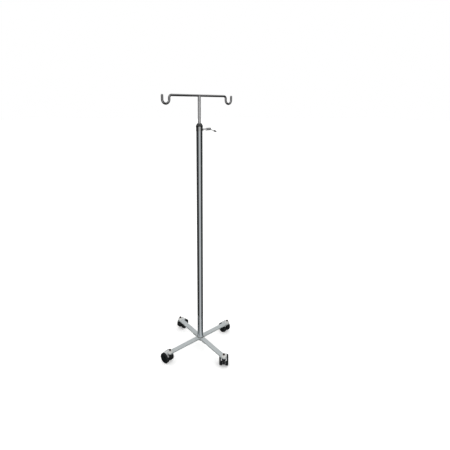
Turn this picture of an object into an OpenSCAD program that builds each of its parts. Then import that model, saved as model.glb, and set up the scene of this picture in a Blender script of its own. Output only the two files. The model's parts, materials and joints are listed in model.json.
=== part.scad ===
// IV drip stand: a telescopic pole with a two-hook bar on a four-arm rolling base.
// Millimetres, +Z up. The origin is on the floor, under the pole's axis.
// The hook bar and one pair of base arms lie along X, the other pair along Y.

/* [Base] */
// Distance from the pole's axis to each caster's swivel axis
swivel_radius = 163; // [140:1:260]
// Width of a base arm
arm_w = 21; // [20:1:26]
// Thickness of a base arm
arm_h = 5; // [5:0.5:8]
// Height of the arms' undersides above the floor
arm_bottom = 49; // [47:0.5:60]
// Thickness of the strap welded under the crossing
strap_t = 3; // [2:0.5:4]
// Length of the strap, which ties the two half arms together
strap_l = 90; // [60:1:120]

/* [Casters] */
// Diameter of a caster wheel over its tread
wheel_d = 45; // [40:1:45]
// Width of one wheel
wheel_w = 13.5; // [10:0.5:14]
// Distance from the swivel axis to the wheel axle
trail = 19; // [16:0.5:20]
// Thickness of the caster body between the two wheels
body_t = 11; // [10.5:0.5:13]
// Direction in which the left caster trails, in degrees from +X
turn_left = 101; // [0:1:359]
// Direction in which the front caster trails
turn_front = 48; // [0:1:359]
// Direction in which the right caster trails
turn_right = 92; // [0:1:359]
// Direction in which the back caster trails
turn_back = 19; // [0:1:359]

/* [Pole] */
// Outer diameter of the fixed outer tube
tube_d = 25.4; // [25:0.1:25.4]
// Wall thickness of the outer tube
tube_wall = 1.5; // [1.4:0.1:1.5]
// Height of the collar's top above the floor
collar_top = 1016; // [700:1:1020]
// Diameter of the sliding inner rod
rod_d = 12; // [11:0.5:12.7]

/* [Hook bar] */
// Height of the bar's axis with the rod as stored
bar_z = 1123; // [1110:1:1175]
// Diameter of the bar
bar_d = 9; // [8:0.5:10]
// Distance from the pole's axis to each upright hook tip
tip_x = 168; // [120:1:220]
// Bend radius of a hook's U, to the bar's centre line
hook_r = 15; // [13:0.5:20]
// Depth of a hook, from the bar's axis to the lowest centre line
hook_depth = 31; // [30:1:45]
// Height of a hook's tip above the bar's axis
tip_rise = 3; // [2:1:15]

/* [Clamp] */
// Distance from the collar's top down to the clamp screw's axis
clamp_drop = 24; // [20:1:24]
// Diameter of the clamp screw
screw_d = 8; // [6:0.5:8]
// Outer end of the boss, from the pole's axis
boss_end = 19; // [18:1:24]
// Inner end of the clamp screw's hub, from the pole's axis
hub_from = 33; // [26:1:36]
// Length of the clamp screw's hub
hub_l = 24; // [20:1:28]
// Angle by which the lever droops from the screw's axis
lever_droop = 18; // [10:1:22]
// Length of the lever, from its root inside the hub to its tip
lever_l = 40; // [36:1:60]

/* [Hidden] */
$fn = 64;

eps = 0.5;         // how far a cutting shape runs past a face
seat = 0.02;       // gap round a piece that is seated in another and doesn't move
running = 0.05;    // radial clearance of a running fit
free_gap = 0.3;    // gap between faces that move past each other

// Base
arm_top = arm_bottom + arm_h;
strap_round = 2;
stem_d = 8;
stem_bottom = 26;
race_d = 18;
race_t = 1.2;
stem_hole_r = stem_d / 2 + 0.15;
washer_t = 1.6;
washer_d = 20;
nut_flats = 13;
nut_h = 6.5;
stem_rise = 4;
stem_tip_h = 1;
bolt_d = 10;
bolt_flats = 17;
bolt_head_h = 6.4;
hub_washer_d = 24;
hub_washer_t = 2;

// Casters
wheel_r = wheel_d / 2;
wheel_gap = 0.5;
tyre_t = 4;
core_r = wheel_r - tyre_t;
tyre_round = 2.5;
tyre_seat = 0.1;
tyre_inset = 0.4;
axle_r = 3;
axle_l = body_t + 2 * (wheel_gap + wheel_w) - 2;
cap_skin = 0.8;
dish_depth = 3;
dish_in_r = 8;
dish_out_r = core_r - 2.5;
web_r = wheel_r - 3;
hood_in_r = wheel_r + 0.6;
hood_out_r = wheel_r + 1.6;
hood_w = body_t + 14;
hood_from = 62;
hood_to = 150;
hood_seat = body_t / 2 + seat;
socket_half = 8;
body_top = arm_bottom - race_t - free_gap;
neck_r = 8;
neck_h = 2.4;
body_shoulder = 1.2;

// Pole
tube_r = tube_d / 2;
tube_in_r = tube_r - tube_wall;
rod_r = rod_d / 2;
plug_h = 30;
plug_thread_h = 26;
sleeve_r = tube_r + 0.9;
lip_r = tube_r + 1.9;
crown_r = rod_r + 3.6;
crown_edge_r = tube_r + 0.4;
collar_h = 30;
collar_bottom = collar_top - collar_h;
lip_top = collar_top - 8;
lip_bottom = lip_top - 4;
tube_top = lip_top - 3;
collar_bush_h = 30;
set_screw_r = 2;
set_screw_drop = 20;

// Sliding rod
rod_bottom = 150;
guide_h = 40;
circlip_t = 1;
circlip_wire = 1.4;
end_washer_r = 8.5;
end_washer_t = 1.5;
end_screw_r = 2.5;
end_screw_l = 16;
end_screw_head_r = 4.5;
end_screw_head_h = 3.2;

// Hook bar
bar_r = bar_d / 2;
corner_r = 10;
hook_z = bar_z - hook_depth + hook_r;
leg_x = tip_x - 2 * hook_r;
throat_x = tip_x - hook_r;
corner_x = leg_x - corner_r;
tip_end = bar_z + tip_rise;

// Clamp
clamp_z = collar_top - clamp_drop;
screw_r = screw_d / 2;
boss_r = 5.5;
pad_r = 3;
pad_gap = 0.1;
pad_l = 6;
screw_from = rod_r + 2 * pad_gap + pad_l;
hub_r = 5.75;
hub_edge = 1;
screw_in_hub = 14;
screw_to = hub_from + screw_in_hub;
lever_root = hub_from + hub_l - 7;
lever_r = 2;
lever_end = lever_l - 10;
knob_r = 3.5;
knob_l = 17;

// A rectangle with round corners, centred on the origin.
module rounded_rect(w, h, r) {
    square([w - 2 * r, h], center = true);
    square([w, h - 2 * r], center = true);
    for (x = [-1, 1], y = [-1, 1])
        translate([x * (w / 2 - r), y * (h / 2 - r)])
            circle(r = r);
}

// A flat bar along +X, from a distance from the pole's axis to its round end at the swivel.
module arm_bar(from) {
    translate([0, 0, arm_bottom])
        linear_extrude(height = arm_h) {
            translate([from, -arm_w / 2])
                square([swivel_radius - from, arm_w]);
            translate([swivel_radius, 0])
                circle(r = arm_w / 2);
        }
}

// A vertical hole's cutting shape through an arm at distance x.
module arm_hole(x, r) {
    translate([x, 0, arm_bottom - eps])
        cylinder(r = r, h = arm_h + 2 * eps);
}

// Half arm along +X, butted against the side of the cross arm.
module half_arm() {
    difference() {
        arm_bar(arm_w / 2);
        arm_hole(swivel_radius, stem_hole_r);
    }
}

module cross_arm() {
    color([0.78, 0.79, 0.79])
        difference() {
            for (turn = [0, 180])
                rotate([0, 0, turn])
                    arm_bar(-eps);
            arm_hole(-swivel_radius, stem_hole_r);
            arm_hole(swivel_radius, stem_hole_r);
            arm_hole(0, bolt_d / 2 + 0.1);
        }
}

module front_arm() {
    color([0.76, 0.79, 0.78])
        rotate([0, 0, -90])
            half_arm();
}

module back_arm() {
    color([0.76, 0.78, 0.77])
        rotate([0, 0, 90])
            half_arm();
}

// Flat strap under the crossing, welded to the half arms and the cross arm.
module hub_strap() {
    color([0.7, 0.71, 0.72])
        translate([0, 0, arm_bottom - strap_t])
            difference() {
                linear_extrude(height = strap_t)
                    rounded_rect(arm_w, strap_l, strap_round);
                translate([0, 0, -eps])
                    cylinder(r = bolt_d / 2 + 0.1, h = strap_t + 2 * eps);
            }
}

// Places its children at the end of each of the four arms.
module at_arms() {
    for (turn = [0, 90, 180, 270])
        rotate([0, 0, turn])
            children();
}

// Fixed caster stem: a threaded shank, with the swivel race's flange under the arm.
module caster_stem() {
    shank_top = arm_top + washer_t + nut_h + stem_rise;
    translate([swivel_radius, 0, 0]) {
        translate([0, 0, stem_bottom])
            cylinder(r = stem_d / 2, h = shank_top - stem_bottom);
        translate([0, 0, shank_top])
            cylinder(r1 = stem_d / 2, r2 = stem_d / 2 - stem_tip_h, h = stem_tip_h);
        translate([0, 0, arm_bottom - race_t])
            cylinder(r = race_d / 2, h = race_t);
    }
}

module caster_stems() {
    color([0.72, 0.73, 0.74])
        at_arms()
            caster_stem();
}

module flat_washer(r, hole_r, t) {
    difference() {
        cylinder(r = r, h = t);
        translate([0, 0, -eps])
            cylinder(r = hole_r, h = t + 2 * eps);
    }
}

module stem_washers() {
    color([0.62, 0.62, 0.62])
        at_arms()
            translate([swivel_radius, 0, arm_top])
                flat_washer(washer_d / 2, stem_hole_r, washer_t);
}

// Hexagonal prism with the given distance across its flats.
module hexagon(flats, h) {
    cylinder(r = flats / 2 / cos(30), h = h, $fn = 6);
}

// Nut that holds a caster stem on its arm.
module stem_nut() {
    difference() {
        hexagon(nut_flats, nut_h);
        translate([0, 0, -eps])
            cylinder(r = stem_d / 2 + seat, h = nut_h + 2 * eps);
    }
}

module stem_nuts() {
    color([0.7, 0.69, 0.67])
        at_arms()
            translate([swivel_radius, 0, arm_top + washer_t])
                stem_nut();
}

// Bolt that holds the pole down on the crossing, entered from below.
module hub_bolt() {
    head_top = arm_bottom - strap_t - hub_washer_t;
    color([0.6, 0.6, 0.6]) {
        translate([0, 0, head_top - bolt_head_h])
            hexagon(bolt_flats, bolt_head_h);
        translate([0, 0, head_top])
            cylinder(r = bolt_d / 2, h = arm_top + plug_thread_h - 3 - head_top);
    }
}

module hub_washer() {
    color([0.62, 0.62, 0.62])
        translate([0, 0, arm_bottom - strap_t - hub_washer_t])
            flat_washer(hub_washer_d / 2, bolt_d / 2 + 0.1, hub_washer_t);
}

// Threaded plug welded into the foot of the outer tube.
module pole_plug() {
    color([0.6, 0.6, 0.62])
        translate([0, 0, arm_top])
            difference() {
                cylinder(r = tube_in_r - seat, h = plug_h);
                translate([0, 0, -eps])
                    cylinder(r = bolt_d / 2 + seat, h = plug_thread_h + eps);
            }
}

module outer_tube() {
    color([0.55, 0.57, 0.6])
        difference() {
            translate([0, 0, arm_top])
                cylinder(r = tube_r, h = tube_top - arm_top);
            translate([0, 0, arm_top - eps])
                cylinder(r = tube_in_r, h = tube_top - arm_top + 2 * eps);
            translate([0, 0, clamp_z])
                rotate([0, 90, 0])
                    cylinder(r = screw_r + 0.5, h = tube_r + eps);
            translate([0, 0, collar_top - set_screw_drop])
                rotate([-90, 0, 0])
                    cylinder(r = set_screw_r + 0.2, h = tube_r + eps);
        }
}

// Collar over the tube's top: a sleeve outside the tube, a lip and a tapering crown.
module top_collar() {
    color([0.35, 0.36, 0.36])
        difference() {
            rotate_extrude()
                polygon([
                    [tube_r + seat, collar_bottom],
                    [sleeve_r, collar_bottom],
                    [sleeve_r, lip_bottom],
                    [lip_r, lip_bottom + 1],
                    [lip_r, lip_top - 1],
                    [crown_edge_r, lip_top],
                    [crown_r, collar_top],
                    [rod_r + free_gap, collar_top],
                    [rod_r + free_gap, tube_top + seat],
                    [tube_r + seat, tube_top + seat]
                ]);
            translate([0, 0, clamp_z])
                rotate([0, 90, 0])
                    cylinder(r = screw_r + running, h = lip_r + eps);
            translate([0, 0, collar_top - set_screw_drop])
                rotate([-90, 0, 0])
                    cylinder(r = set_screw_r + seat, h = lip_r + eps);
        }
}

// Plastic bush in the tube's mouth, in which the rod slides and turns.
module collar_bush() {
    color([0.85, 0.85, 0.8])
        difference() {
            translate([0, 0, tube_top - collar_bush_h])
                cylinder(r = tube_in_r - seat, h = collar_bush_h);
            translate([0, 0, tube_top - collar_bush_h - eps])
                cylinder(r = rod_r + running, h = collar_bush_h + 2 * eps);
            translate([0, 0, clamp_z])
                rotate([0, 90, 0])
                    cylinder(r = pad_r + running, h = tube_r);
        }
}

// Grub screw that locks the collar to the tube.
module collar_set_screw() {
    color([0.25, 0.25, 0.25])
        translate([0, tube_in_r + 0.3, collar_top - set_screw_drop])
            rotate([-90, 0, 0])
                cylinder(r = set_screw_r, h = sleeve_r - tube_in_r);
}

// Threaded boss on the collar's side, which takes the clamp screw.
module clamp_boss() {
    color([0.8, 0.8, 0.8])
        difference() {
            translate([0, 0, clamp_z])
                rotate([0, 90, 0])
                    cylinder(r = boss_r, h = boss_end);
            translate([0, 0, collar_bottom - eps])
                cylinder(r = sleeve_r + seat, h = lip_top - collar_bottom);
            translate([0, 0, clamp_z])
                rotate([0, 90, 0])
                    cylinder(r = screw_r + running, h = boss_end + eps);
        }
}

// Plastic bush that guides the rod's foot inside the outer tube.
module guide_bush() {
    color([0.85, 0.85, 0.8])
        translate([0, 0, rod_bottom])
            difference() {
                cylinder(r = tube_in_r - running, h = guide_h);
                translate([0, 0, -eps])
                    cylinder(r = rod_r + running, h = guide_h + 2 * eps);
            }
}

module inner_rod() {
    color([0.6, 0.6, 0.6])
        difference() {
            translate([0, 0, rod_bottom])
                cylinder(r = rod_r, h = bar_z - rod_bottom);
            translate([0, 0, bar_z])
                rotate([0, 90, 0])
                    cylinder(r = bar_r + seat, h = 4 * rod_r, center = true);
            translate([0, 0, rod_bottom - eps])
                cylinder(r = end_screw_r + seat, h = end_screw_l + 1 + eps);
        }
}

// Right half of the hook bar: the bar, its corner, and the hook's U and tip.
module half_hook_bar() {
    translate([0, 0, bar_z])
        rotate([0, 90, 0])
            cylinder(r = bar_r, h = corner_x);
    translate([corner_x, 0, bar_z - corner_r])
        rotate([90, 0, 0])
            rotate_extrude(angle = 90)
                translate([corner_r, 0])
                    circle(r = bar_r);
    translate([leg_x, 0, hook_z])
        cylinder(r = bar_r, h = bar_z - corner_r - hook_z);
    translate([throat_x, 0, hook_z])
        rotate([90, 0, 0])
            rotate([0, 0, 180])
                rotate_extrude(angle = 180)
                    translate([hook_r, 0])
                        circle(r = bar_r);
    translate([tip_x, 0, hook_z])
        cylinder(r = bar_r, h = tip_end - bar_r - hook_z);
    translate([tip_x, 0, tip_end - bar_r])
        sphere(r = bar_r);
}

module hook_bar() {
    color([0.45, 0.45, 0.45]) {
        half_hook_bar();
        mirror([1, 0, 0])
            half_hook_bar();
    }
}

// Ring on the rod that holds the guide bush from above.
module guide_circlip() {
    color([0.3, 0.3, 0.3])
        translate([0, 0, rod_bottom + guide_h + free_gap])
            flat_washer(rod_r + circlip_wire, rod_r + seat, circlip_t);
}

// Washer and screw under the rod's end, which hold the guide bush from below.
module rod_end_washer() {
    color([0.62, 0.62, 0.62])
        translate([0, 0, rod_bottom - end_washer_t])
            flat_washer(end_washer_r, end_screw_r + seat, end_washer_t);
}

module rod_end_screw() {
    color([0.6, 0.6, 0.6]) {
        translate([0, 0, rod_bottom - end_washer_t - end_screw_head_h])
            cylinder(r = end_screw_head_r, h = end_screw_head_h);
        translate([0, 0, rod_bottom - end_washer_t])
            cylinder(r = end_screw_r, h = end_washer_t + end_screw_l);
    }
}

// Places its children on the clamp screw's axis, with their +Z along it, x from the pole.
module on_clamp(x) {
    translate([x, 0, clamp_z])
        rotate([0, 90, 0])
            children();
}

module pressure_pad() {
    color([0.75, 0.6, 0.3])
        on_clamp(rod_r + pad_gap)
            cylinder(r = pad_r, h = pad_l);
}

module clamp_screw() {
    color([0.7, 0.7, 0.7])
        on_clamp(screw_from)
            cylinder(r = screw_r, h = screw_to - screw_from);
}

// Places its children at the lever's root, with their +Z along the lever.
module on_lever() {
    translate([lever_root, 0, clamp_z])
        rotate([0, 90 + lever_droop, 0])
            children();
}

module lever_hub() {
    color([0.55, 0.55, 0.55])
        difference() {
            on_clamp(hub_from) {
                cylinder(r1 = hub_r - hub_edge, r2 = hub_r, h = hub_edge);
                translate([0, 0, hub_edge])
                    cylinder(r = hub_r, h = hub_l - 2 * hub_edge);
                translate([0, 0, hub_l - hub_edge])
                    cylinder(r1 = hub_r, r2 = hub_r - hub_edge, h = hub_edge);
            }
            on_clamp(hub_from - eps)
                cylinder(r = screw_r + seat, h = screw_in_hub + eps);
            on_lever()
                cylinder(r = lever_r + seat, h = lever_l);
        }
}

module lever_arm() {
    color([0.6, 0.6, 0.6])
        on_lever()
            cylinder(r = lever_r, h = lever_end);
}

module lever_knob() {
    color([0.35, 0.35, 0.35])
        difference() {
            on_lever()
                translate([0, 0, lever_l - knob_l + knob_r]) {
                    sphere(r = knob_r);
                    cylinder(r = knob_r, h = knob_l - 2 * knob_r);
                    translate([0, 0, knob_l - 2 * knob_r])
                        sphere(r = knob_r);
                }
            on_lever()
                cylinder(r = lever_r + seat, h = lever_end + seat);
        }
}

// Places its children at the swivel of the arm at arm_turn, trailing towards turn.
module at_caster(arm_turn, turn) {
    translate([swivel_radius * cos(arm_turn), swivel_radius * sin(arm_turn), 0])
        rotate([0, 0, turn])
            children();
}

// Places its children on the axle, with their +Z along the axle.
module on_axle() {
    translate([trail, 0, wheel_r])
        rotate([90, 0, 0])
            children();
}

// Side outline of the caster body, centred on the axle.
module body_outline() {
    circle(r = web_r);
    intersection() {
        circle(r = hood_in_r - seat);
        hood_wedge();
    }
    translate([-trail - socket_half, 0])
        square([2 * socket_half, body_top - body_shoulder - wheel_r]);
}

// Sector that the hood covers.
module hood_wedge() {
    reach = 2 * hood_out_r;
    polygon([
        [0, 0],
        [reach * cos(hood_from), reach * sin(hood_from)],
        [reach, reach],
        [-reach, reach],
        [reach * cos(hood_to), reach * sin(hood_to)]
    ]);
}

// Caster body: a web between the wheels with the stem's socket and neck.
module yoke() {
    difference() {
        union() {
            on_axle()
                linear_extrude(height = body_t, center = true)
                    body_outline();
            translate([0, 0, body_top - neck_h])
                cylinder(r = neck_r, h = neck_h);
        }
        translate([0, 0, stem_bottom - 1])
            cylinder(r = stem_d / 2 + running, h = body_top);
        on_axle()
            cylinder(r = axle_r + seat, h = body_t + 2 * eps, center = true);
    }
}

// Metal hood: a curved shell over the wheels, cut out round the socket and the neck.
module hood() {
    difference() {
        on_axle()
            linear_extrude(height = hood_w, center = true)
                intersection() {
                    difference() {
                        circle(r = hood_out_r);
                        circle(r = hood_in_r);
                    }
                    hood_wedge();
                }
        translate([0, 0, stem_bottom])
            cylinder(r = neck_r + seat, h = body_top);
        translate([-socket_half - seat, -hood_seat, stem_bottom])
            cube([2 * (socket_half + seat), 2 * hood_seat, body_top]);
    }
}

module axle() {
    on_axle()
        cylinder(r = axle_r, h = axle_l, center = true);
}

// Wheel core, from its inner face at z 0 to its dished outer face.
module core() {
    difference() {
        cylinder(r = core_r, h = wheel_w);
        translate([0, 0, -eps])
            cylinder(r = axle_r + running, h = wheel_w - cap_skin + eps);
        translate([0, 0, wheel_w - dish_depth])
            flat_washer(dish_out_r, dish_in_r, dish_depth + eps);
    }
}

// Tread ring round the core, with round shoulders.
module tread() {
    seat_r = core_r + tyre_seat;
    shoulder = wheel_r - tyre_round;
    low = tyre_inset + tyre_round;
    high = wheel_w - low;
    rotate_extrude()
        intersection() {
            union() {
                translate([seat_r, tyre_inset])
                    square([shoulder - seat_r, wheel_w - 2 * tyre_inset]);
                translate([seat_r, low])
                    square([wheel_r - seat_r, high - low]);
                for (z = [low, high])
                    translate([shoulder, z])
                        circle(r = tyre_round);
            }
            translate([seat_r, 0])
                square([tyre_t, wheel_w]);
        }
}

// Places its children beside the web: side 1 or -1.
module on_side(side) {
    on_axle()
        mirror([0, 0, side < 0 ? 1 : 0])
            translate([0, 0, body_t / 2 + wheel_gap])
                children();
}

module caster_yoke(arm_turn, turn) {
    color([0.08, 0.08, 0.09])
        at_caster(arm_turn, turn)
            yoke();
}

module caster_hood(arm_turn, turn) {
    color([0.8, 0.82, 0.81])
        at_caster(arm_turn, turn)
            hood();
}

module caster_axle(arm_turn, turn) {
    color([0.6, 0.6, 0.6])
        at_caster(arm_turn, turn)
            axle();
}

module caster_core(arm_turn, turn, side) {
    color([0.1, 0.11, 0.12])
        at_caster(arm_turn, turn)
            on_side(side)
                core();
}

module caster_tread(arm_turn, turn, side) {
    color([0.05, 0.05, 0.05])
        at_caster(arm_turn, turn)
            on_side(side)
                tread();
}

cross_arm();
front_arm();
back_arm();
hub_strap();
caster_stems();
stem_washers();
stem_nuts();
hub_bolt();
hub_washer();
pole_plug();
outer_tube();
top_collar();
collar_bush();
collar_set_screw();
clamp_boss();
guide_bush();
inner_rod();
hook_bar();
guide_circlip();
rod_end_washer();
rod_end_screw();
pressure_pad();
clamp_screw();
lever_hub();
lever_arm();
lever_knob();
caster_yoke(180, turn_left);  // yoke_left
caster_hood(180, turn_left);  // hood_left
caster_axle(180, turn_left);  // axle_left
caster_core(180, turn_left, 1);  // wheel_left_a
caster_tread(180, turn_left, 1);  // tyre_left_a
caster_core(180, turn_left, -1);  // wheel_left_b
caster_tread(180, turn_left, -1);  // tyre_left_b
caster_yoke(270, turn_front);  // yoke_front
caster_hood(270, turn_front);  // hood_front
caster_axle(270, turn_front);  // axle_front
caster_core(270, turn_front, 1);  // wheel_front_a
caster_tread(270, turn_front, 1);  // tyre_front_a
caster_core(270, turn_front, -1);  // wheel_front_b
caster_tread(270, turn_front, -1);  // tyre_front_b
caster_yoke(0, turn_right);  // yoke_right
caster_hood(0, turn_right);  // hood_right
caster_axle(0, turn_right);  // axle_right
caster_core(0, turn_right, 1);  // wheel_right_a
caster_tread(0, turn_right, 1);  // tyre_right_a
caster_core(0, turn_right, -1);  // wheel_right_b
caster_tread(0, turn_right, -1);  // tyre_right_b
caster_yoke(90, turn_back);  // yoke_back
caster_hood(90, turn_back);  // hood_back
caster_axle(90, turn_back);  // axle_back
caster_core(90, turn_back, 1);  // wheel_back_a
caster_tread(90, turn_back, 1);  // tyre_back_a
caster_core(90, turn_back, -1);  // wheel_back_b
caster_tread(90, turn_back, -1);  // tyre_back_b
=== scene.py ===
"""Looks of a rolling IV drip stand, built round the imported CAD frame. All lengths are in metres."""

import json
import math

import bmesh
import bpy
from mathutils import Matrix, Vector


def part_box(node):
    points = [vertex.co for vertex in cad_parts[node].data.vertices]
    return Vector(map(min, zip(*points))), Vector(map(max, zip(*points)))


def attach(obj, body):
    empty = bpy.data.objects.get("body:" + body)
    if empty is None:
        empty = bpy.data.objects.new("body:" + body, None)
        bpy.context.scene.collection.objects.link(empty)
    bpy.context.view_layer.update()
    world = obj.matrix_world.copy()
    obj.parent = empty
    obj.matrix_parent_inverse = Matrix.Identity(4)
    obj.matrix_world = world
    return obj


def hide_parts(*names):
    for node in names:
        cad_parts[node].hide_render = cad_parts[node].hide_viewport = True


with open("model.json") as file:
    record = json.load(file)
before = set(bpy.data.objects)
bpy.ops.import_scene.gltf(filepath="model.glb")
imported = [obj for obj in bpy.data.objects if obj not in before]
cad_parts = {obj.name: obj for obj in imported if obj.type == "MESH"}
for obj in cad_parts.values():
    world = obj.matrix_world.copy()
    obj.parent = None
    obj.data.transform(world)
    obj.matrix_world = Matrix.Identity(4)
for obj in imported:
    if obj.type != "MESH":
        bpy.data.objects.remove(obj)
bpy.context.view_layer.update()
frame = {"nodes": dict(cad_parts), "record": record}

NODES = frame["nodes"]
JOINTS = {joint["name"]: joint for joint in frame["record"]["behaviour"]["joints"]}
SIDES = ("left", "front", "right", "back")
MM = 0.001
TAU = 2 * math.pi

# Places and sizes read from the frame
tube_low, tube_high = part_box("outer_tube")
rod_low, rod_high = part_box("inner_rod")
bar_low, bar_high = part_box("hook_bar")
collar_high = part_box("top_collar")[1]
arm_low, arm_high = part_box("cross_arm")
nut_low, nut_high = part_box("stem_nuts")
stem_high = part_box("caster_stems")[1]
boss_low, boss_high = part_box("clamp_boss")
screw_low, screw_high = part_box("clamp_screw")
hub_low, hub_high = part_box("lever_hub")
lever_low, lever_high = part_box("lever_arm")
knob_low, knob_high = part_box("lever_knob")
TUBE_R = (tube_high.x - tube_low.x) / 2
ROD_R = (rod_high.x - rod_low.x) / 2
BAR_R = (bar_high.y - bar_low.y) / 2
BAR_Z = rod_high.z
ARM_TOP = arm_high.z
ARM_HALF_W = (arm_high.y - arm_low.y) / 2
SWIVEL_R = arm_high.x - ARM_HALF_W
SCREW_R = (screw_high.y - screw_low.y) / 2
HUB_R = (hub_high.y - hub_low.y) / 2
BOSS_R = (boss_high.y - boss_low.y) / 2
CLAMP_Z = (screw_low.z + screw_high.z) / 2
COLLAR_RIM_Z = collar_high.z - 12 * MM
NUT_H = nut_high.z - nut_low.z


# ---------------------------------------------------------------- camera and studio

CAM_TURN = math.radians(37.09)     # how far the camera stands round to the left of the front
CAM_DISTANCE = 1.3552              # over the floor, from the pole's axis
CAM_HEIGHT = 1.0815
CAM_PITCH = math.radians(12.31)
CAM_YAW = math.radians(1.284)
CAM_LENS = 26.95
CAM_SENSOR_W = 36.0
CAM_SHIFT = (0.04, -0.10)          # moves the picture without turning the camera

FLOOR_R = 30.0
FLOOR_SIDES = 96
FLOOR_COLOUR = (0.93, 0.93, 0.925)
FLOOR_GLOW = 0.3
BACKDROP = (1.0, 1.0, 1.0)
LIGHT_STRENGTH = 1.0
PANEL_PLACE = Vector((0.6, -2.2, 2.6))
PANEL_TARGET = Vector((0, 0, 0.5))
PANEL_SIZE = (2.4, 1.8)
PANEL_POWER = 12

# What polished metal sees round the studio, by the angle from the camera's side: a lit wall
# behind the camera, dark drapes at both sides of it, and a dim wall behind the stand.
ROUND_STOPS = (
    (-180, 0.20), (-140, 0.10), (-108, 0.04), (-62, 0.03), (-38, 0.06), (-22, 0.45),
    (6, 0.62), (36, 0.52), (47, 0.05), (105, 0.02), (138, 0.04), (156, 0.10), (180, 0.20),
)
# A factor on that, by the sine of the angle above the horizon: dark straight below and above
HEIGHT_STOPS = (
    (-1.0, 0.03), (-0.8, 0.06), (-0.68, 1.0), (0.25, 1.0), (0.68, 1.05), (0.85, 0.45), (1.0, 0.20),
)
# Above this rise (as a sine) the drapes give way to an even grey sky
SKY_RISE = (0.36, 0.52)
SKY_GREY = 0.58


def make_camera():
    """Camera a little below the hook bar's level, close to the stand, tilted down."""
    data = bpy.data.cameras.new("camera")
    data.lens = CAM_LENS
    data.sensor_width = CAM_SENSOR_W
    data.shift_x, data.shift_y = CAM_SHIFT
    cam = bpy.data.objects.new("camera", data)
    bpy.context.scene.collection.objects.link(cam)
    level = Vector((math.sin(CAM_TURN), math.cos(CAM_TURN), 0))
    cam.location = -CAM_DISTANCE * level + Vector((0, 0, CAM_HEIGHT))
    cam.rotation_euler = (math.pi / 2 - CAM_PITCH, 0, -(CAM_TURN + CAM_YAW))
    bpy.context.scene.camera = cam


def make_floor():
    """Plain pale floor, which the polished metal doesn't mirror."""
    bm = bmesh.new()
    bmesh.ops.create_circle(bm, cap_ends=True, radius=FLOOR_R, segments=FLOOR_SIDES)
    mesh = bpy.data.meshes.new("floor")
    bm.to_mesh(mesh)
    bm.free()
    floor = bpy.data.objects.new("floor", mesh)
    bpy.context.scene.collection.objects.link(floor)
    floor.visible_glossy = False
    mat = bpy.data.materials.new("floor_pale")
    mat.use_nodes = True
    shader = mat.node_tree.nodes["Principled BSDF"]
    shader.inputs["Base Color"].default_value = (*FLOOR_COLOUR, 1)
    shader.inputs["Roughness"].default_value = 0.9
    shader.inputs["Specular IOR Level"].default_value = 0.1
    shader.inputs["Emission Color"].default_value = (*FLOOR_COLOUR, 1)
    shader.inputs["Emission Strength"].default_value = FLOOR_GLOW
    mesh.materials.append(mat)


def feed(tree, socket, value):
    """Links a node's output to a socket, or sets the socket to a plain value."""
    if isinstance(value, bpy.types.NodeSocket):
        tree.links.new(value, socket)
    else:
        socket.default_value = value


def colour_mix(tree, factor, a, b, blend="MIX"):
    """Colour a where the factor is 0 and b where it is 1, unless they are blended otherwise."""
    node = tree.nodes.new("ShaderNodeMix")
    node.data_type = "RGBA"
    node.blend_type = blend
    for slot, value in (("Factor", factor), ("A", a), ("B", b)):
        feed(tree, node.inputs[slot], value)
    return node.outputs["Result"]


def map_range(tree, value, before, after=(0, 1)):
    """Carries a value from one range to another, and holds it beyond the ends."""
    node = tree.nodes.new("ShaderNodeMapRange")
    node.inputs["From Min"].default_value, node.inputs["From Max"].default_value = before
    node.inputs["To Min"].default_value, node.inputs["To Max"].default_value = after
    tree.links.new(value, node.inputs["Value"])
    return node.outputs["Result"]


def grey_ramp(tree, value, stops):
    """A grey that follows a value through (place, grey) stops."""
    node = tree.nodes.new("ShaderNodeValToRGB")
    ramp = node.color_ramp
    while len(ramp.elements) > 2:
        ramp.elements.remove(ramp.elements[-1])
    for i, (place, grey) in enumerate(stops):
        stop = ramp.elements[i] if i < 2 else ramp.elements.new(place)
        stop.position = place
        stop.color = (grey, grey, grey, 1)
    tree.links.new(value, node.inputs["Fac"])
    return node.outputs["Color"]


def angle_round(tree, direction):
    """0 to 1 once round the horizon, with 0.5 towards the camera."""
    turn = tree.nodes.new("ShaderNodeMapping")
    turn.inputs["Rotation"].default_value = (0, 0, math.pi / 2 + CAM_TURN)
    around = tree.nodes.new("ShaderNodeTexGradient")
    around.gradient_type = "RADIAL"
    tree.links.new(direction, turn.inputs["Vector"])
    tree.links.new(turn.outputs["Vector"], around.inputs["Vector"])
    return around.outputs["Fac"]


def reflected_studio(tree):
    """Colour that polished metal sees in each direction."""
    direction = tree.nodes.new("ShaderNodeTexCoord").outputs["Generated"]
    split = tree.nodes.new("ShaderNodeSeparateXYZ")
    tree.links.new(direction, split.inputs["Vector"])
    rise = split.outputs["Z"]
    walls = grey_ramp(tree, angle_round(tree, direction),
                      [(0.5 + angle / 360, grey) for angle, grey in ROUND_STOPS])
    sky = (SKY_GREY, SKY_GREY, SKY_GREY, 1)
    walls_and_sky = colour_mix(tree, map_range(tree, rise, SKY_RISE), walls, sky)
    shade = grey_ramp(tree, map_range(tree, rise, (-1, 1)),
                      [((1 + sine) / 2, factor) for sine, factor in HEIGHT_STOPS])
    return colour_mix(tree, 1, walls_and_sky, shade, "MULTIPLY")


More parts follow.
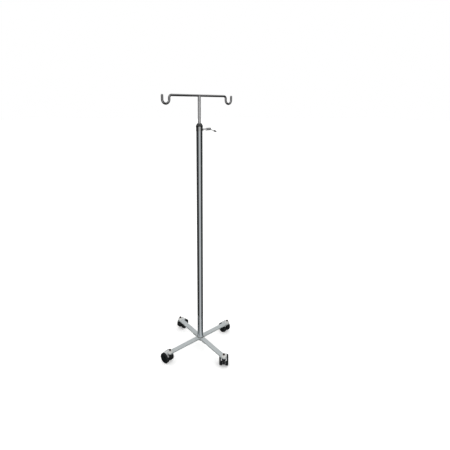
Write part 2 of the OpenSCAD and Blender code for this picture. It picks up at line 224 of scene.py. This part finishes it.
def make_world():
    """Even light and a white backdrop; only reflections see the walls, drapes and sky."""
    world = bpy.data.worlds.new("studio")
    world.use_nodes = True
    tree = world.node_tree
    tree.nodes.clear()
    glossy = tree.nodes.new("ShaderNodeLightPath").outputs["Is Glossy Ray"]
    colour = colour_mix(tree, glossy, (*BACKDROP, 1), reflected_studio(tree))
    background = tree.nodes.new("ShaderNodeBackground")
    background.inputs["Strength"].default_value = LIGHT_STRENGTH
    out = tree.nodes.new("ShaderNodeOutputWorld")
    tree.links.new(colour, background.inputs["Color"])
    tree.links.new(background.outputs["Background"], out.inputs["Surface"])
    bpy.context.scene.world = world


def make_lights():
    """One large soft panel high on the camera's side."""
    data = bpy.data.lights.new("key_panel", "AREA")
    data.shape = "RECTANGLE"
    data.size, data.size_y = PANEL_SIZE
    data.energy = PANEL_POWER
    lamp = bpy.data.objects.new("key_panel", data)
    bpy.context.scene.collection.objects.link(lamp)
    lamp.location = PANEL_PLACE
    lamp.rotation_euler = (PANEL_TARGET - PANEL_PLACE).to_track_quat("-Z", "Y").to_euler()
    lamp.visible_glossy = False


make_camera()
make_floor()
make_world()
make_lights()
bpy.context.scene.view_settings.view_transform = "Standard"


# ---------------------------------------------------------------- materials


class Paint:
    """A node material, with short calls for the textures that it is made of."""

    def __init__(self, name, colour, metallic, roughness):
        self.mat = bpy.data.materials.new(name)
        self.mat.use_nodes = True
        self.tree = self.mat.node_tree
        self.shader = self.tree.nodes["Principled BSDF"]
        self.shader.inputs["Base Color"].default_value = (*colour, 1)
        self.shader.inputs["Metallic"].default_value = metallic
        self.shader.inputs["Roughness"].default_value = roughness
        self.coords = self.tree.nodes.new("ShaderNodeTexCoord")

    def noise(self, scale, stretch=(1, 1, 1), detail=3.0, rough=0.55):
        """Noise in object space; stretch makes it finer along the axes with large values."""
        mapping = self.tree.nodes.new("ShaderNodeMapping")
        mapping.inputs["Scale"].default_value = stretch
        texture = self.tree.nodes.new("ShaderNodeTexNoise")
        texture.inputs["Scale"].default_value = scale
        texture.inputs["Detail"].default_value = detail
        texture.inputs["Roughness"].default_value = rough
        self.tree.links.new(self.coords.outputs["Object"], mapping.inputs["Vector"])
        self.tree.links.new(mapping.outputs["Vector"], texture.inputs["Vector"])
        return texture.outputs["Fac"]

    def spread(self, fac, low, high, from_low=0.3, from_high=0.7):
        """A value from low to high as fac goes from from_low to from_high, held beyond them."""
        return map_range(self.tree, fac, (from_low, from_high), (low, high))

    def mix(self, fac, a, b):
        """Colour a where fac is 0 and b where it is 1; each is a colour or another mix."""
        a, b = [(*colour, 1) if isinstance(colour, tuple) else colour for colour in (a, b)]
        return colour_mix(self.tree, fac, a, b)

    def base(self, colour):
        """Links a mix to the base colour."""
        self.tree.links.new(colour, self.shader.inputs["Base Color"])

    def rough(self, value):
        """Links a value to the roughness."""
        self.tree.links.new(value, self.shader.inputs["Roughness"])

    def bump(self, fac, strength, distance):
        """Adds a bump on top of those already there."""
        node = self.tree.nodes.new("ShaderNodeBump")
        node.inputs["Strength"].default_value = strength
        node.inputs["Distance"].default_value = distance
        self.tree.links.new(fac, node.inputs["Height"])
        normal = self.shader.inputs["Normal"]
        if normal.is_linked:
            self.tree.links.new(normal.links[0].from_socket, node.inputs["Normal"])
        self.tree.links.new(node.outputs["Normal"], normal)

    def height_fade(self, full, none):
        """1 at the height full, fading to 0 at the height none; either may be the higher."""
        split = self.tree.nodes.new("ShaderNodeSeparateXYZ")
        self.tree.links.new(self.coords.outputs["Object"], split.inputs["Vector"])
        return self.spread(split.outputs["Z"], 1.0, 0.0, full, none)


def tube_chrome():
    """Bright plate with faint drawing lines along the tube and a few hand smudges."""
    paint = Paint("tube_chrome", (0.74, 0.76, 0.79), 1.0, 0.08)
    smudge = paint.noise(14, (1, 1, 0.35), 4)
    paint.base(paint.mix(paint.spread(smudge, 0, 1), (0.72, 0.76, 0.79), (0.80, 0.845, 0.87)))
    paint.rough(paint.spread(smudge, 0.06, 0.15))
    paint.bump(paint.noise(900, (1, 1, 0.012), 2), 0.10, 0.00004)
    paint.bump(paint.noise(120, (1, 1, 0.25), 2), 0.04, 0.00006)
    return paint.mat


def ground_steel(name, dark, light, roughness, metallic):
    """Ground steel: fine lines round the rod, a satin grey tone and light handling marks."""
    paint = Paint(name, light, metallic, roughness[0])
    tone = paint.noise(30, (1, 1, 0.6), 4)
    paint.base(paint.mix(paint.spread(tone, 0, 1), dark, light))
    paint.rough(paint.spread(tone, *roughness))
    paint.bump(paint.noise(1400, (0.06, 0.06, 1), 2), 0.12, 0.00004)
    return paint.mat


def arm_steel(name, along_x):
    """Satin steel brushed along the arm, with scuffs and a faint cool tint."""
    paint = Paint(name, (0.70, 0.73, 0.72), 0.7, 0.34)
    stretch = (0.015, 1, 1) if along_x else (1, 0.015, 1)
    brushed = paint.noise(700, stretch)
    cloud = paint.noise(18, detail=4)
    brushed_tone = paint.mix(paint.spread(brushed, 0, 1), (0.725, 0.775, 0.78), (0.81, 0.855, 0.86))
    paint.base(paint.mix(paint.spread(cloud, 0, 0.5), brushed_tone, (0.69, 0.745, 0.75)))
    paint.rough(paint.spread(cloud, 0.34, 0.48))
    paint.bump(brushed, 0.15, 0.00006)
    return paint.mat


def collar_chrome():
    """Chrome over turned metal, blackened above the rim, with turning rings and cloudy polish."""
    paint = Paint("collar_chrome", (0.66, 0.67, 0.67), 1.0, 0.1)
    cloud = paint.noise(60, detail=4)
    bright = paint.mix(paint.spread(cloud, 0, 1), (0.60, 0.61, 0.61), (0.72, 0.73, 0.73))
    dark = paint.mix(paint.spread(cloud, 0, 1), (0.08, 0.084, 0.084), (0.13, 0.136, 0.136))
    paint.base(paint.mix(paint.height_fade(COLLAR_RIM_Z, COLLAR_RIM_Z - MM), bright, dark))
    paint.rough(paint.spread(cloud, 0.06, 0.16))
    paint.bump(paint.noise(1500, (0.02, 0.02, 1), 2), 0.10, 0.00004)
    return paint.mat


def plated(name, colour, dull, low, high, metallic=1.0):
    """Plated steel: a cloudy tint between two tones, with small pits."""
    paint = Paint(name, colour, metallic, low)
    cloud = paint.noise(160, detail=5, rough=0.65)
    paint.base(paint.mix(paint.spread(cloud, 0, 1), colour, dull))
    paint.rough(paint.spread(cloud, low, high))
    paint.bump(paint.noise(1100), 0.10, 0.00005)
    return paint.mat


def stem_steel():
    """Zinc-plated stem whose threaded end, above the nut, is painted dark brown: a painted dark
    reflection.
    """
    paint = Paint("stem_steel", (0.58, 0.57, 0.55), 1.0, 0.35)
    cloud = paint.noise(300, detail=4)
    zinc = paint.mix(paint.spread(cloud, 0, 1), (0.62, 0.61, 0.59), (0.46, 0.45, 0.43))
    brown = paint.mix(paint.spread(cloud, 0, 1), (0.115, 0.07, 0.045), (0.06, 0.04, 0.03))
    # Painted dark reflection: the stem above the nut's top is coloured dark brown
    paint.base(paint.mix(paint.height_fade(nut_high.z, nut_high.z - MM), zinc, brown))
    paint.rough(paint.spread(cloud, 0.38, 0.6))
    paint.bump(cloud, 0.2, 0.00008)
    return paint.mat


def weld_metal():
    """Weld bead: heat-tinted, rippled steel."""
    paint = Paint("weld_metal", (0.45, 0.44, 0.43), 1.0, 0.4)
    cloud = paint.noise(220, detail=4)
    paint.base(paint.mix(paint.spread(cloud, 0, 1), (0.50, 0.49, 0.48), (0.34, 0.31, 0.28)))
    paint.rough(paint.spread(cloud, 0.32, 0.5))
    paint.bump(paint.noise(900), 0.3, 0.0001)
    return paint.mat


def moulded(name, colour, light, low, high, shine=0.5):
    """Moulded plastic: fine grain, slight unevenness in tone and gloss."""
    paint = Paint(name, colour, 0.0, low)
    paint.shader.inputs["Specular IOR Level"].default_value = shine
    cloud = paint.noise(70, detail=4)
    paint.base(paint.mix(paint.spread(cloud, 0, 1), colour, light))
    paint.rough(paint.spread(cloud, low, high))
    paint.bump(paint.noise(1400), 0.25, 0.00004)
    return paint.mat


DUST_TOP = 9 * MM


def tread_rubber():
    """Black tread with scuffed patches, and grey dust worked in near the floor."""
    paint = Paint("tread_rubber", (0.010, 0.012, 0.013), 0.0, 0.6)
    paint.shader.inputs["Specular IOR Level"].default_value = 0.3
    patches = paint.noise(160, detail=5, rough=0.65)
    worn = paint.mix(paint.spread(patches, 0, 0.7), (0.006, 0.008, 0.009), (0.022, 0.025, 0.026))
    dust = paint.tree.nodes.new("ShaderNodeMath")
    dust.operation = "MULTIPLY"
    paint.tree.links.new(paint.height_fade(0.0, DUST_TOP), dust.inputs[0])
    paint.tree.links.new(paint.spread(patches, 0.1, 0.6), dust.inputs[1])
    paint.base(paint.mix(dust.outputs["Value"], worn, (0.06, 0.06, 0.058)))
    paint.rough(paint.spread(patches, 0.45, 0.75))
    paint.bump(paint.noise(1600), 0.35, 0.00006)
    return paint.mat


LOOKS = {
    "tube": tube_chrome(),
    "rod": ground_steel("rod_steel", (0.63, 0.63, 0.635), (0.77, 0.77, 0.775), (0.32, 0.46), 0.85),
    "bar": ground_steel("bar_steel", (0.48, 0.48, 0.485), (0.62, 0.62, 0.625), (0.12, 0.20), 1.0),
    "arm_x": arm_steel("arm_steel_cross", True),
    "arm_y": arm_steel("arm_steel_half", False),
    "collar": collar_chrome(),
    "stem": stem_steel(),
    "zinc": plated("zinc_plate", (0.66, 0.65, 0.63), (0.50, 0.48, 0.45), 0.28, 0.45),
    "bright": plated("bright_plate", (0.93, 0.93, 0.915), (0.82, 0.82, 0.80), 0.24, 0.40, 0.55),
    "clamp": plated("clamp_plate", (0.88, 0.88, 0.88), (0.78, 0.78, 0.79), 0.30, 0.42, 0.6),
    "hub": plated("hub_plate", (0.54, 0.54, 0.55), (0.42, 0.42, 0.43), 0.30, 0.44, 0.7),
    "hood": plated("hood_chrome", (0.90, 0.91, 0.91), (0.81, 0.84, 0.84), 0.18, 0.32, 0.5),
    "brass": plated("turned_brass", (0.72, 0.55, 0.26), (0.55, 0.40, 0.18), 0.25, 0.4),
    "axle": plated("ground_pin", (0.60, 0.60, 0.60), (0.5, 0.5, 0.5), 0.2, 0.34),
    "weld": weld_metal(),
    "knob": moulded("knob_plastic", (0.05, 0.05, 0.052), (0.09, 0.09, 0.09), 0.28, 0.42),
    "nylon": moulded("bush_nylon", (0.80, 0.79, 0.74), (0.72, 0.71, 0.66), 0.40, 0.55),
    "wheel": moulded("wheel_nylon", (0.002, 0.0045, 0.0055), (0.006, 0.010, 0.011), 0.28, 0.44, 0.3),
    "yoke": moulded("yoke_nylon", (0.007, 0.008, 0.009), (0.014, 0.015, 0.016), 0.45, 0.62, 0.25),
    "tread": tread_rubber(),
}

CAD_LOOKS = {
    "tube": ["outer_tube"],
    "rod": ["inner_rod"],
    "bar": ["hook_bar"],
    "arm_x": ["cross_arm"],
    "arm_y": ["front_arm", "back_arm", "hub_strap"],
    "collar": ["top_collar"],
    "stem": ["caster_stems"],
    "zinc": ["hub_bolt", "hub_washer", "pole_plug", "guide_circlip", "rod_end_washer",
             "rod_end_screw", "collar_set_screw"],
    "bright": ["stem_washers", "stem_nuts"],
    "clamp": ["clamp_boss", "clamp_screw", "lever_arm"],
    "hub": ["lever_hub"],
    "brass": ["pressure_pad"],
    "knob": ["lever_knob"],
    "nylon": ["collar_bush", "guide_bush"],
    "hood": ["hood_" + side for side in SIDES],
    "yoke": ["yoke_" + side for side in SIDES],
    "axle": ["axle_" + side for side in SIDES],
    "wheel": [f"wheel_{side}_{half}" for side in SIDES for half in "ab"],
    "tread": [f"tyre_{side}_{half}" for side in SIDES for half in "ab"],
}

# Edges of these nodes are rounded, by the given width
SOFT_EDGES = {
    "cross_arm": 0.6 * MM, "front_arm": 0.6 * MM, "back_arm": 0.6 * MM, "hub_strap": 0.4 * MM,
    "stem_washers": 0.25 * MM, "hub_washer": 0.25 * MM, "top_collar": 0.3 * MM,
    "clamp_boss": 0.3 * MM, "hub_bolt": 0.4 * MM,
}
SOFT_EDGE_STEPS = 2
SOFT_EDGE_ANGLE = math.radians(40)


def dress_cad():
    """Gives every CAD node its finish, and rounds the edges of some."""
    for look, names in CAD_LOOKS.items():
        for name in names:
            for slot in NODES[name].material_slots:
                slot.material = LOOKS[look]
    for name, width in SOFT_EDGES.items():
        bevel = NODES[name].modifiers.new("soft_edges", "BEVEL")
        bevel.width = width
        bevel.segments = SOFT_EDGE_STEPS
        bevel.limit_method = "ANGLE"
        bevel.angle_limit = SOFT_EDGE_ANGLE


# ---------------------------------------------------------------- mesh tools

MERGE_DISTANCE = 1e-6
BEAD_SIDES = 10
BEAD_RIPPLE = 0.14          # as a part of the bead's radius
RIPPLE_STEP = 2.1           # in radians, from one point of a bead's path to the next
ASKEW = Vector((0.3, 0.2, 1))   # a direction that no bead runs along


def placed(origin, axis):
    """Matrix that carries the origin to a place, and +Z to an axis there."""
    turn = Vector((0, 0, 1)).rotation_difference(Vector(axis)).to_matrix().to_4x4()
    return Matrix.Translation(origin) @ turn


def at_stem(arm, height):
    """Matrix that carries the origin to a height on a caster's stem; arm is a count from +X."""
    return Matrix.Rotation(TAU * arm / len(SIDES), 4, "Z") @ Matrix.Translation((SWIVEL_R, 0, height))


def skin(bm, rings, closed):
    """Surface through rings of points; closed joins the last ring to the first."""
    rows = [[bm.verts.new(point) for point in ring] for ring in rings]
    count = len(rows[0])
    pairs = list(zip(rows, rows[1:]))
    if closed:
        pairs.append((rows[-1], rows[0]))
    for a, b in pairs:
        for i in range(count):
            k = (i + 1) % count
            bm.faces.new((a[i], a[k], b[k], b[i]))
    if not closed:
        bm.faces.new(rows[0])
        bm.faces.new(rows[-1])


def turned(bm, profile, segments, matrix, closed=True):
    """Turns a profile about +Z, then places it. A profile point is (radius, height), and either
    may be a function of the angle."""
    def value(part, angle):
        return part(angle) if callable(part) else part

    rings = []
    for radius, height in profile:
        ring = []
        for i in range(segments):
            angle = TAU * i / segments
            r = value(radius, angle)
            point = Vector((r * math.cos(angle), r * math.sin(angle), value(height, angle)))
            ring.append(matrix @ point)
        rings.append(ring)
    skin(bm, rings, closed)


def swept(bm, path, radius, closed):
    """Rippled bead along a path of points."""
    rings = []
    last = len(path) - 1
    for i, point in enumerate(path):
        before = path[i - 1] if i or closed else point
        after = path[(i + 1) % len(path)] if i < last or closed else point
        along = (after - before).normalized()
        across = along.cross(ASKEW).normalized()
        up = across.cross(along)
        r = radius * (1 + BEAD_RIPPLE * math.sin(RIPPLE_STEP * i))
        ring = []
        for k in range(BEAD_SIDES):
            angle = TAU * k / BEAD_SIDES
            ring.append(point + r * (math.cos(angle) * across + math.sin(angle) * up))
        rings.append(ring)
    skin(bm, rings, closed)


def finish_piece(name, bm, body, look, sharp=35):
    """Makes an object of the mesh, riding on a body, with its look. Edges that turn by more than
    sharp degrees stay sharp."""
    bmesh.ops.remove_doubles(bm, verts=bm.verts, dist=MERGE_DISTANCE)
    bmesh.ops.recalc_face_normals(bm, faces=bm.faces)
    for face in bm.faces:
        face.smooth = True
    mesh = bpy.data.meshes.new(name)
    bm.to_mesh(mesh)
    bm.free()
    mesh.set_sharp_from_angle(angle=math.radians(sharp))
    mesh.materials.append(LOOKS[look])
    piece = bpy.data.objects.new(name, mesh)
    bpy.context.scene.collection.objects.link(piece)
    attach(piece, body)
    return piece


# ---------------------------------------------------------------- casters

# Wheel core: its hub cap, dish, rim and ribs, the recess in its back, and what closes its bore
HUB_CAP_R = 5.6 * MM
DISH_IN_R = 7.4 * MM
DISH_DEPTH = 2.6 * MM
RIM_W = 2.2 * MM
BACK_DEPTH = 1.2 * MM
BORE_FLOOR = 0.8 * MM
RIB_COUNT = 8
RIB_HALF_W = 0.9 * MM
RIB_FOOT = 1.5              # half width of a rib's foot, as a multiple of RIB_HALF_W
RIB_RISE = 1.7 * MM
# Tread: its two grooves, and the rounding of its shoulders
GROOVE_DEPTH = 0.9 * MM
GROOVE_HALF_W = 0.6 * MM
GROOVE_OFFSET = 2.4 * MM
GROOVE_EDGE = 0.2 * MM
SHOULDER_PART = 0.6
SHOULDER_STEPS = 5
WHEEL_SIDES = 96
SPOKE_RINGS = 4
AXLE_GAP = 0.05 * MM


def reach(name, centre, axis):
    """Least and greatest place of a node's points along an axis through a centre, then their
    least and greatest distance from that axis."""
    along, away = [], []
    for vertex in NODES[name].data.vertices:
        offset = NODES[name].matrix_world @ vertex.co - centre
        t = offset.dot(axis)
        along.append(t)
        away.append((offset - t * axis).length)
    return min(along), max(along), min(away), max(away)


def wheel_place(side, half):
    """Centre of a wheel and the axis that points away from the caster's body."""
    joint = JOINTS[f"roll_{side}_{half}"]
    other = Vector(JOINTS[f"roll_{side}_{'b' if half == 'a' else 'a'}"]["pos_m"])
    centre = Vector(joint["pos_m"])
    return centre, (centre - other).normalized()


def wheel_body(side, half):
    """Name of a wheel's body, which is its core's name too."""
    return f"wheel_{side}_{half}"


def rib_height(radius, floor):
    """Height of the dished face at a radius, as a function of the angle."""
    def height(angle):
        nearest = (angle * RIB_COUNT / TAU + 0.5) % 1 - 0.5
        arc = abs(nearest) * TAU / RIB_COUNT * radius
        fade = min(1, max(0, (RIB_HALF_W * RIB_FOOT - arc) / RIB_HALF_W))
        return floor + RIB_RISE * fade
    return height


def wheel_core(side, half):
    """Wheel core: a dished face with ribs, a rim and a hub cap over the axle's end."""
    name = wheel_body(side, half)
    centre, out = wheel_place(side, half)
    inner, outer, _, core_r = reach(name, centre, out)
    bore_r = reach("axle_" + side, centre, out)[3] + AXLE_GAP
    width = outer - inner
    bore_end = width - BORE_FLOOR
    rim_in = core_r - RIM_W
    back = [
        (0, bore_end), (bore_r, bore_end), (bore_r, 0), (DISH_IN_R, 0),
        (DISH_IN_R + MM, BACK_DEPTH), (rim_in - MM, BACK_DEPTH), (rim_in, 0),
    ]
    rim = [
        (core_r - 0.3 * MM, 0), (core_r, 0.3 * MM), (core_r, width - 0.4 * MM),
        (core_r - 0.4 * MM, width), (rim_in + 0.5 * MM, width), (rim_in + 0.1 * MM, width - 0.5 * MM),
    ]
    spokes = [DISH_IN_R + (rim_in - DISH_IN_R) * i / SPOKE_RINGS for i in range(SPOKE_RINGS + 1)]
    dish = [(radius, rib_height(radius, width - DISH_DEPTH)) for radius in reversed(spokes)]
    cap = [
        (DISH_IN_R - 0.3 * MM, width - 1.0 * MM), (DISH_IN_R - 0.9 * MM, width - 0.6 * MM),
        (HUB_CAP_R, width - 0.6 * MM), (HUB_CAP_R - 0.1 * MM, width - 0.1 * MM),
        (HUB_CAP_R - 0.5 * MM, width), (2.2 * MM, width), (1.8 * MM, width - 0.5 * MM),
        (0, width - 0.6 * MM),
    ]
    place = placed(centre + out * inner, out)
    bm = bmesh.new()
    turned(bm, back + rim + dish + cap, WHEEL_SIDES, place, closed=False)
    piece = finish_piece(f"detail_{name}", bm, name, "wheel")
    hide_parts(name)


def wheel_tread(side, half):
    """Tread ring with round shoulders and two grooves."""
    name = f"tyre_{side}_{half}"
    centre, out = wheel_place(side, half)
    inner, outer, seat_r, tread_r = reach(name, centre, out)
    width = outer - inner
    round_r = (tread_r - seat_r) * SHOULDER_PART
    shoulder = []
    for i in range(SHOULDER_STEPS + 1):
        angle = math.pi / 2 * i / SHOULDER_STEPS
        shoulder.append((tread_r - round_r * (1 - math.sin(angle)), round_r * (1 - math.cos(angle))))
    bottom_r, edge = tread_r - GROOVE_DEPTH, GROOVE_EDGE
    profile = [(seat_r, 0)] + shoulder
    for middle in (width / 2 - GROOVE_OFFSET, width / 2 + GROOVE_OFFSET):
        low, high = middle - GROOVE_HALF_W, middle + GROOVE_HALF_W
        profile += [
            (tread_r, low - edge), (tread_r - edge, low), (bottom_r, low + edge),
            (bottom_r, high - edge), (tread_r - edge, high), (tread_r, high + edge),
        ]
    profile += [(radius, width - height) for radius, height in reversed(shoulder)]
    profile.append((seat_r, width))
    bm = bmesh.new()
    turned(bm, profile, WHEEL_SIDES, placed(centre + out * inner, out))
    body = wheel_body(side, half)
    piece = finish_piece(f"detail_{name}", bm, body, "tread", sharp=50)
    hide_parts(name)


# ---------------------------------------------------------------- fasteners and threads

NUT_FLATS_HALF = 6.5 * MM
NUT_CHAMFER_W = 1.925 * MM
NUT_CHAMFER_H = 0.66 * MM
NUT_CHAMFER_CURVE = 0.7
NUT_SIDES = 72
BORE_GAP = 0.02 * MM
THREAD_DEPTH = 0.45 * MM
THREAD_PITCH = 1.25 * MM
THREAD_STEPS = 6            # rings for each turn of the thread
THREAD_SIDES = 32
THREAD_SINK = 0.2 * MM      # how far the sleeve's inside lies under the thread's root
STEM_CREST = 0.25 * MM      # how far a thread's crest stands off the plain shank
SCREW_CREST = 0.2 * MM
STEM_START, STEM_TIP = 0.1 * MM, 1.2 * MM
SCREW_START, SCREW_END = 0.4 * MM, 0.3 * MM


def hex_radius(angle):
    """Radius of the nut's hexagon in a direction; its corners lie at multiples of 60 degrees."""
    wedge = (angle % (TAU / 6)) - TAU / 12
    return NUT_FLATS_HALF / math.cos(wedge)


def nut_rings():
    """Nut's outline from bottom to top, with its corners turned down at both ends."""
    chamfer = []
    for level in (0, 0.25, 0.5, 0.75, 1):
        limit = NUT_FLATS_HALF + NUT_CHAMFER_W * level ** NUT_CHAMFER_CURVE
        chamfer.append((lambda angle, limit=limit: min(hex_radius(angle), limit),
                        NUT_CHAMFER_H * level))
    return chamfer + [(radius, NUT_H - rise) for radius, rise in reversed(chamfer)]


def stem_nuts():
    """Chamfered hexagon nuts on the four caster stems."""
    bore_r = SCREW_R + BORE_GAP
    profile = [(bore_r, 0)] + nut_rings() + [(bore_r, NUT_H)]
    bm = bmesh.new()
    for arm in range(len(SIDES)):
        turned(bm, profile, NUT_SIDES, at_stem(arm, nut_low.z))
    piece = finish_piece("detail_stem_nuts", bm, "base", "bright", sharp=25)
    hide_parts("stem_nuts")


def thread(bm, length, crest, matrix):
    """Sleeve with a helical thread on its outside, along +Z from the placed origin."""
    root = crest - THREAD_DEPTH
    rings = int(length / THREAD_PITCH * THREAD_STEPS)

    def radius_at(height):
        def radius(angle):
            phase = (height / THREAD_PITCH - angle / TAU) % 1
            return root + THREAD_DEPTH * (1 - abs(2 * phase - 1))
        return radius

    profile = [(root - THREAD_SINK, 0)]
    for i in range(rings + 1):
        height = length * i / rings
        profile.append((radius_at(height), height))
    profile.append((root - THREAD_SINK, length))
    turned(bm, profile, THREAD_SIDES, matrix)


def stem_threads():
    """Threads on the stems' free ends, above the nuts."""
    start = nut_high.z + STEM_START
    length = stem_high.z - STEM_TIP - start
    bm = bmesh.new()
    for arm in range(len(SIDES)):
        thread(bm, length, SCREW_R + STEM_CREST, at_stem(arm, start))
    finish_piece("stem_threads", bm, "base", "stem", sharp=60)


def screw_thread():
    """Thread on the clamp screw, between the boss and the hub."""
    start = boss_high.x + SCREW_START
    length = hub_low.x - SCREW_END - start
    bm = bmesh.new()
    thread(bm, length, SCREW_R + SCREW_CREST, placed((start, 0, CLAMP_Z), (1, 0, 0)))
    finish_piece("clamp_screw_thread", bm, "clamp_lever", "clamp", sharp=60)


# ---------------------------------------------------------------- clamp lever

KNURL_TEETH = 30
KNURL_SIDES = 6 * KNURL_TEETH
KNURL_DEPTH = 0.35 * MM
KNURL_MARGIN = 3.2 * MM
KNURL_STEP = 0.25 * MM
HUB_GROOVE = 0.5 * MM
HUB_SOCKET_L = 14 * MM


def knurl_radius(height):
    """Radius of the diamond knurl at a height, as a function of the angle."""
    def radius(angle):
        twist = height / HUB_R
        one = abs(math.sin(KNURL_TEETH / 2 * (angle + twist)))
        two = abs(math.sin(KNURL_TEETH / 2 * (angle - twist)))
        return HUB_R - KNURL_DEPTH * (1 - min(one, two))
    return radius


def knurled_hub():
    """Hub with a diamond knurl between two plain rims."""
    length = hub_high.x - hub_low.x
    bore_r = SCREW_R + BORE_GAP
    groove_r = HUB_R - HUB_GROOVE
    foot = [
        (0, HUB_SOCKET_L), (bore_r, HUB_SOCKET_L), (bore_r, 0), (HUB_R - MM, 0), (HUB_R, MM),
        (HUB_R, KNURL_MARGIN - 0.9 * MM), (groove_r, KNURL_MARGIN - 0.6 * MM),
    ]
    span = length - 2 * KNURL_MARGIN
    steps = int(span / KNURL_STEP)
    heights = [KNURL_MARGIN + span * i / steps for i in range(steps + 1)]
    knurl = [(knurl_radius(height), height) for height in heights]
    top = [
        (groove_r, length - KNURL_MARGIN + 0.6 * MM), (HUB_R, length - KNURL_MARGIN + 0.9 * MM),
        (HUB_R, length - MM), (HUB_R - MM, length), (0, length),
    ]
    place = placed((hub_low.x, 0, CLAMP_Z), (1, 0, 0))
    bm = bmesh.new()
    turned(bm, foot + knurl + top, KNURL_SIDES, place, closed=False)
    piece = finish_piece("detail_lever_hub", bm, "clamp_lever", "hub", sharp=50)
    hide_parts("lever_hub")


KNOB_GRIP_RINGS = 5
KNOB_RING_STEPS = 4         # points along each finger ring
KNOB_GRIP_DEPTH = 0.3 * MM
KNOB_CAP_STEPS = 6
KNOB_SIDES = 60
KNOB_BORE_PART = 0.55
KNOB_MOUTH = 0.7 * MM
SEAM_SINK = 0.15 * MM       # how far the grip lies under its CAD radius, to leave the seam room
SEAM_RISE = 0.12 * MM
SEAM_HALF_ANGLE = 0.12


def grip_knob():
    """Rounded grip on the lever's end, with shallow finger rings and a moulding line."""
    centre = (knob_low + knob_high) / 2
    axis = (centre - (lever_low + lever_high) / 2).normalized()
    low, high, _, radius = reach("lever_knob", centre, axis)
    bore = reach("lever_arm", centre, axis)[3] + BORE_GAP
    length = high - low
    grip_r = radius - SEAM_SINK

    def round_end(base, sign):
        points = []
        for i in range(1, KNOB_CAP_STEPS + 1):
            angle = math.pi / 2 * i / KNOB_CAP_STEPS
            points.append((grip_r * math.sin(angle), base - sign * grip_r * math.cos(angle)))
        return points

    profile = [(0, length * KNOB_BORE_PART), (bore, length * KNOB_BORE_PART), (bore, KNOB_MOUTH)]
    profile += [point for point in round_end(radius, 1) if point[0] > bore]
    straight = length - 2 * radius
    steps = KNOB_GRIP_RINGS * KNOB_RING_STEPS
    for i in range(steps + 1):
        wave = (1 - math.cos(TAU * i / KNOB_RING_STEPS)) / 2
        profile.append((grip_r - KNOB_GRIP_DEPTH * wave, radius + straight * i / steps))
    profile += reversed(round_end(length - radius, -1)[:-1])
    profile.append((0, length - SEAM_SINK))

    def with_seam(radius_here):
        def value(angle):
            near = abs((angle / math.pi + 0.5) % 1 - 0.5) * math.pi
            return radius_here + SEAM_RISE * max(0, 1 - near / SEAM_HALF_ANGLE)
        return value if radius_here > bore else radius_here

    bm = bmesh.new()
    seamed = [(with_seam(r), height) for r, height in profile]
    turned(bm, seamed, KNOB_SIDES, placed(centre + axis * low, axis), closed=False)
    piece = finish_piece("detail_lever_knob", bm, "clamp_lever", "knob", sharp=50)
    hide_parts("lever_knob")


# ---------------------------------------------------------------- welds

# Radius of each bead, and the count of points along it
FOOT_BEAD, FOOT_POINTS = 1.7 * MM, 90
BUTT_BEAD, BUTT_POINTS = 1.3 * MM, 46
HOOK_BEAD, HOOK_POINTS = 0.9 * MM, 60
BOSS_BEAD, BOSS_POINTS = 0.8 * MM, 50
FOOT_OFFSET = 0.3 * MM      # of the foot's bead, out of the tube's wall and up from the arms
BUTT_SINK = 0.6 * MM        # of the butt joints' beads, under the arms' top
SLEEVE_WALL = 0.9 * MM      # of the collar's sleeve, round the tube
BEAD_SHARP = 80


def round_angles(count):
    """Angles once round, in equal steps."""
    return [TAU * i / count for i in range(count)]


def pole_foot_weld():
    """Bead round the tube's foot on the crossing."""
    radius, height = TUBE_R + FOOT_OFFSET, ARM_TOP + FOOT_OFFSET
    path = [Vector((radius * math.cos(angle), radius * math.sin(angle), height))
            for angle in round_angles(FOOT_POINTS)]
    bm = bmesh.new()
    swept(bm, path, FOOT_BEAD, True)
    finish_piece("pole_foot_weld", bm, "base", "weld", BEAD_SHARP)


def arm_welds():
    """Low beads along the butt joints of the half arms, on top of the crossing."""
    bm = bmesh.new()
    for side in (-1, 1):
        path = []
        for i in range(BUTT_POINTS):
            x = -ARM_HALF_W + 2 * ARM_HALF_W * i / (BUTT_POINTS - 1)
            path.append(Vector((x, side * ARM_HALF_W, ARM_TOP - BUTT_SINK)))
        swept(bm, path, BUTT_BEAD, False)
    finish_piece("arm_butt_welds", bm, "base", "weld", BEAD_SHARP)


def hook_bar_weld():
    """Bead where the rod's forked end meets the bar."""
    path = []
    for angle in round_angles(HOOK_POINTS):
        y = ROD_R * math.sin(angle)
        drop = math.sqrt(max(0, BAR_R ** 2 - y ** 2))
        path.append(Vector((ROD_R * math.cos(angle), y, BAR_Z - drop)))
    bm = bmesh.new()
    swept(bm, path, HOOK_BEAD, True)
    finish_piece("hook_bar_weld", bm, "hook_rod", "weld", BEAD_SHARP)


def boss_weld():
    """Bead where the clamp's boss meets the collar."""
    sleeve_r = TUBE_R + SLEEVE_WALL
    path = []
    for angle in round_angles(BOSS_POINTS):
        y = BOSS_R * math.cos(angle)
        z = CLAMP_Z + BOSS_R * math.sin(angle)
        path.append(Vector((math.sqrt(sleeve_r ** 2 - y ** 2), y, z)))
    bm = bmesh.new()
    swept(bm, path, BOSS_BEAD, True)
    finish_piece("boss_weld", bm, "base", "weld", BEAD_SHARP)


dress_cad()
for wheel_side in SIDES:
    for wheel_half in "ab":
        wheel_core(wheel_side, wheel_half)
        wheel_tread(wheel_side, wheel_half)
stem_nuts()
stem_threads()
screw_thread()
knurled_hub()
grip_knob()
pole_foot_weld()
arm_welds()
hook_bar_weld()
boss_weld()
